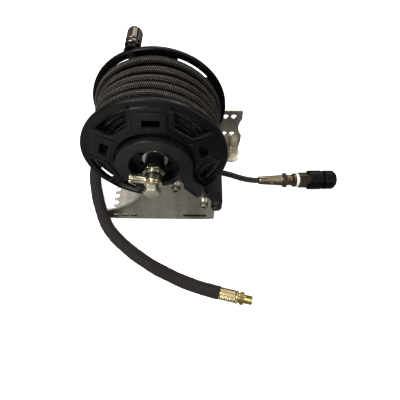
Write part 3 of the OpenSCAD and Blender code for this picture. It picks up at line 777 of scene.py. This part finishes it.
gl = 31.5
g0 = 113.4
prof = [(g0, 5.3), (g0, 9.6), (g0 + 0.7, 10.4), (g0 + 1.2, 10.6)]
prof += [(g0 + 1.8 + i * 0.45, 10.9) for i in range(8)]
prof += [(g0 + 5.5, 10.5), (g0 + 5.9, 9.5), (g0 + 8.3, 9.5), (g0 + 8.7, 10.5), (g0 + 9.2, 10.9)]
prof += [(g0 + 9.6 + i * 1.3, 10.9) for i in range(17)]
prof += [(g0 + gl, 10.9), (g0 + gl, 5.3)]
grip = turned("winding_grip", prof, HM, 144, flutes(12, 0.7, g0 + 9.0, g0 + gl + 0.1))
new_object("winding_grip", grip, KNOB, "handle", ("handle_grip",), sharp=40)
cap_prof = [(g0 + gl, 0), (g0 + gl, 10.85), (g0 + gl + 1.2, 10.8), (g0 + gl + 2.4, 10.3), (g0 + gl + 3.3, 9.3),
            (g0 + gl + 3.8, 8.0), (g0 + gl + 4.0, 6.2), (g0 + gl + 3.6, 5.6), (g0 + gl + 3.6, 0)]
new_object("winding_grip_cap", turned("winding_grip_cap", cap_prof, HM, 144, flutes(12, 0.7, g0 + gl - 0.1, g0 + gl + 2.0), closed=False),
           KNOB, "handle", ("handle_end_cap",), sharp=40)

# ------------------------------------------------------------------ delivery end: ferrule, coupler
ca = math.radians(1.5)
CM = axis_matrix((0.167, 0.0495, 0.0172), (math.cos(ca), math.sin(ca), 0))


def knurl(count, pitch, depth, lo, hi):
    def f(x, t, r):
        if lo <= x <= hi:
            a = t * count / (2 * math.pi) + (x - lo) / pitch
            b = t * count / (2 * math.pi) - (x - lo) / pitch
            k = abs(math.sin(math.pi * a) * math.sin(math.pi * b)) ** 0.7
            e = min(1.0, (x - lo) / 0.8, (hi - x) / 0.8)
            return r - depth * (1 - k) * max(0.0, e)
        return r
    return f


def taper(x):
    return 6.9 + 2.7 * x / 43.0


prof = [(0, 5.0), (0, 6.4), (0.5, 6.9)] + [(x, taper(x) + 0.10) for x in (3, 6, 9, 12, 14.5)]
prof += [(15.2 + 0.45 * i, taper(15.2 + 0.45 * i) + 0.2) for i in range(59)]
prof += [(42.0, taper(42.0) + 0.1), (43, 9.2), (43, 5.0)]
new_object("knurled_ferrule", turned("knurled_ferrule", prof, CM, 128, knurl(18, 3.0, 0.5, 15.2, 41.3)), NICKEL_WARM, "stand",
           ("outlet_ferrule",), sharp=50)

# smooth front collar of the coupler and its knurled sleeve
prof = [(88, 12.5), (88, 16.0), (88.9, 16.9), (90.5, 17.0), (99.0, 17.0), (99.4, 16.75), (100.2, 16.75), (100.6, 17.0),
        (108.5, 17.0), (109.6, 16.8), (110.3, 16.1), (110.3, 12.5)]
new_object("coupler_collar", turned("coupler_collar", prof, CM, 96), COUPLER, "stand", sharp=40)
prof = [(114.6, 12.75), (114.6, 16.0), (115.2, 16.7), (115.8, 16.8)] + [(116.4 + 0.5 * i, 16.75) for i in range(22)]
prof += [(127.6, 16.4), (128.3, 16.4)] + [(128.6 + 0.4 * i, 16.8 - 0.012 * i * i) for i in range(11)] + [(133.4, 14.6), (134.3, 13.6), (134.4, 12.75)]


def sleeve_knurl(x, t, r):
    if 116.3 <= x <= 127.2:
        return knurl(40, 2.6, 0.35, 116.3, 127.2)(x, t, r)
    if 128.4 <= x <= 133.0:
        return r - 0.55 * (0.5 - 0.5 * math.cos(24 * t)) ** 0.6
    return r


new_object("knurled_release_sleeve", turned("knurled_release_sleeve", prof, CM, 192, sleeve_knurl), COUPLER, "release_sleeve",
           ("coupler_sleeve",), sharp=45)

# ------------------------------------------------------------------ lead-in hose ends
la = math.radians(-13)
LM = axis_matrix((0.0925, -0.150, 0.0101), (math.cos(la), math.sin(la), 0))
lb = math.radians(106)
RM = axis_matrix((-0.117, 0.158, 0.0101), (math.cos(lb), math.sin(lb), 0))


def crimp(x, t, r):
    if 1.0 < x < 23 and r > 8:
        e = min(1.0, (x - 1.0) / 0.8, (23 - x) / 0.8)
        f = (t * 8 / (2 * math.pi) + 0.25) % 1.0
        g = max(0.0, 1.0 - min(f, 1.0 - f) / 0.19)
        a = t * 8 / (2 * math.pi) + x / 14.0
        b = t * 8 / (2 * math.pi) - x / 14.0
        k = min(1.0, 2.6 * min(abs(math.sin(math.pi * a)), abs(math.sin(math.pi * b))))
        return r - (0.75 * g + 0.07 * (1 - k) * (1 - g)) * e
    return r


for nm, M, cad in (("front_crimp_ferrule", LM, "lead_ferrule_front"), ("rear_crimp_ferrule", RM, "lead_ferrule_rear")):
    q = 9.2 if cad == "lead_ferrule_front" else 8.2
    prof = [(0, 5), (0, q - 0.4), (0.5, q)] + [(1.0 + 0.4 * i, q) for i in range(56)]
    if cad == "lead_ferrule_front":
        prof += [(23.5, 8.2), (24.2, 8.2), (24.4, 9.5), (24.7, 9.7), (26.5, 9.7), (27.0, 9.3), (27.0, 5)]
    else:
        prof += [(23.6, 8.0), (24.0, 7.6), (24.0, 5)]
    new_object(nm, turned(nm, prof, M, 144, crimp), CRIMP, "stand", (cad,), sharp=60)


def stem_fr(x, t, r):
    if 30.35 <= x <= 36.05 and r > 7.9:
        e = min(x - 30.4, 36.0 - x)
        return min(hexr(17.0, t), 8.7 + max(0.0, e) * 1.6, r + 9)
    if 37.0 < x < 48.1 and r > 6.2:
        ph = ((x / 1.34) + t / (2 * math.pi)) % 1.0
        return r - 0.34 * abs(ph - 0.5) * 2 * min(1.0, (48.1 - x) / 0.8)
    return r


prof = [(27.0, 3.6), (27.0, 7.0), (27.3, 7.3), (30.1, 7.3), (30.4, 7.6), (30.4, 8.0)] + [(30.4 + 0.35 * i, 9.8) for i in range(17)]
prof += [(36.0, 8.0), (36.0, 6.3), (36.9, 6.3)] + [(37.0 + 0.17 * i, 6.56) for i in range(66)] + [(48.3, 6.1), (48.5, 5.7), (48.5, 3.9), (36, 3.6)]
new_object("threaded_brass_tail", turned("threaded_brass_tail", prof, LM, 96, stem_fr), BRASS, "stand",
           ("lead_male_stem",), sharp=32)

# knurled bands round the two cap-screw heads
for i, (x, z) in enumerate(((27.5, 102.5), (68.5, 58.0))):
    SM = axis_matrix((x * MM, 0, z * MM), (0, 1, 0))
    prof = [(-31.6, 6.3), (-31.5, 6.5)] + [(-31.3 + 0.3 * q, 6.62) for q in range(19)] + [(-25.8, 6.5), (-25.7, 6.3)]

    def serr(xx, t, r):
        return r - 0.14 * (0.5 - 0.5 * math.cos(36 * t)) if r > 6.55 else r
    new_object("cap_screw_knurl_%d" % (i + 1), turned("cap_screw_knurl_%d" % (i + 1), prof, SM, 216, serr), SCREW, "stand", sharp=60)

# thread inside the open inlet port
pa = math.radians(11)
PM = axis_matrix((-0.031 * math.cos(pa), -0.0402, 0.140 + 0.031 * math.sin(pa)), (math.cos(pa), 0, -math.sin(pa)))
prof = [(0.5 + 0.2 * q, 4.28) for q in range(46)] + [(9.7, 4.36), (0.3, 4.36)]
new_object("inlet_port_thread", turned("inlet_port_thread", prof, PM, 64,
           lambda x, t, r: r - 0.45 * abs(((x + t / (2 * math.pi)) % 1.0) - 0.5) * 2 if r < 4.35 else r),
           NICKEL, "inlet_swivel_body", sharp=30)

# ------------------------------------------------------------------ stage and light
bm = bmesh.new()
bmesh.ops.create_grid(bm, x_segments=8, y_segments=8, size=3.0)
fm = bpy.data.meshes.new("studio_floor")
bm.to_mesh(fm)
bm.free()
floor = bpy.data.objects.new("studio_floor", fm)
scene.collection.objects.link(floor)
floor.location.z = -0.0006
fl = Mat("floor_white")
fn = fl.noise(fl.obj(), 3.0, 2.0)
seen = fl.nt.nodes.new("ShaderNodeLightPath").outputs["Is Camera Ray"]
# a pale card on the left of the floor in front, out of sight, lifts the left of the front faces
where = fl.nt.nodes.new("ShaderNodeSeparateXYZ")
fl.nt.links.new(fl.obj(), where.inputs[0])
card = fl.math("MULTIPLY", fl.span(where.outputs[0], -0.035, 0.035, 1.0, 0.0), fl.span(where.outputs[1], -0.20, -0.14, 1.0, 0.0))
shade_side = fl.math("MULTIPLY", fl.span(where.outputs[0], 0.0, 0.06, 0.0, 1.0), fl.span(where.outputs[1], -0.20, -0.14, 1.0, 0.0))
fl.put(fl.b.inputs["Base Color"], fl.mix(seen, fl.mix(card, fl.mix(shade_side, (0.18, 0.18, 0.18), (0.09, 0.09, 0.09)), (0.46, 0.46, 0.46)), fl.mix(fn, (0.93, 0.93, 0.93), (0.96, 0.96, 0.96))))
fl.b.inputs["Roughness"].default_value = 0.9
fl.b.inputs["Specular IOR Level"].default_value = 0.1
fl.b.inputs["Emission Color"].default_value = (1, 1, 1, 1)
fl.put(fl.b.inputs["Emission Strength"], fl.math("MULTIPLY", seen, 0.78))
fm.materials.append(fl.m)

# white surround for the view; a graded studio, dark at the horizon and bright overhead, for the reflections
world = bpy.data.worlds.new("studio")
scene.world = world
world.use_nodes = True
wn = world.node_tree
bg = wn.nodes["Background"]
bg.inputs[0].default_value = (1.0, 1.0, 1.0, 1)
tc = wn.nodes.new("ShaderNodeTexCoord")
sx = wn.nodes.new("ShaderNodeSeparateXYZ")
wn.links.new(tc.outputs["Generated"], sx.inputs[0])
ramp = wn.nodes.new("ShaderNodeMapRange")
ramp.interpolation_type = "SMOOTHSTEP"
for key, val in (("From Min", 0.05), ("From Max", 0.95), ("To Min", 0.10), ("To Max", 0.95)):
    ramp.inputs[key].default_value = val
wn.links.new(sx.outputs[2], ramp.inputs["Value"])
cloud = wn.nodes.new("ShaderNodeTexNoise")
cloud.inputs["Scale"].default_value = 2.2
cloud.inputs["Detail"].default_value = 1.0
wn.links.new(tc.outputs["Generated"], cloud.inputs["Vector"])
cards = wn.nodes.new("ShaderNodeMapRange")
cards.interpolation_type = "SMOOTHSTEP"
for key, val in (("From Min", 0.42), ("From Max", 0.58), ("To Min", 0.25), ("To Max", 1.75)):
    cards.inputs[key].default_value = val
wn.links.new(cloud.outputs[0], cards.inputs["Value"])
both = wn.nodes.new("ShaderNodeMath")
both.operation = "MULTIPLY"
wn.links.new(ramp.outputs[0], both.inputs[0])
wn.links.new(cards.outputs[0], both.inputs[1])
lp = wn.nodes.new("ShaderNodeLightPath")
pick = wn.nodes.new("ShaderNodeMix")
pick.data_type = "FLOAT"
wn.links.new(lp.outputs["Is Camera Ray"], pick.inputs[0])
wn.links.new(both.outputs[0], pick.inputs[2])
pick.inputs[3].default_value = 1.0
wn.links.new(pick.outputs[0], bg.inputs[1])


def area(name, loc, target, size, power, col=(1, 1, 1)):
    d = bpy.data.lights.new(name, "AREA")
    d.shape = "RECTANGLE"
    d.size, d.size_y = size
    d.energy = power
    d.color = col
    o = bpy.data.objects.new(name, d)
    scene.collection.objects.link(o)
    o.location = loc
    o.rotation_euler = (Vector(target) - Vector(loc)).to_track_quat("-Z", "Y").to_euler()
    return o


area("key", (-0.55, -0.35, 1.25), (0, 0.05, 0.1), (0.7, 0.4), 20.0)
area("fill_right", (1.1, -0.7, 0.7), (0.05, 0.0, 0.08), (0.25, 0.9), 3.2)
area("rim_back", (0.3, 1.2, 0.9), (0.05, 0.0, 0.12), (1.0, 0.25), 4.5)
area("low_front", (-0.2, -1.1, 0.10), (0.0, 0.0, 0.08), (0.12, 0.10), 1.5)

scene.view_settings.view_transform = "Standard"
scene.view_settings.look = "None"
scene.view_settings.exposure = 0.0
scene.view_settings.gamma = 1.0
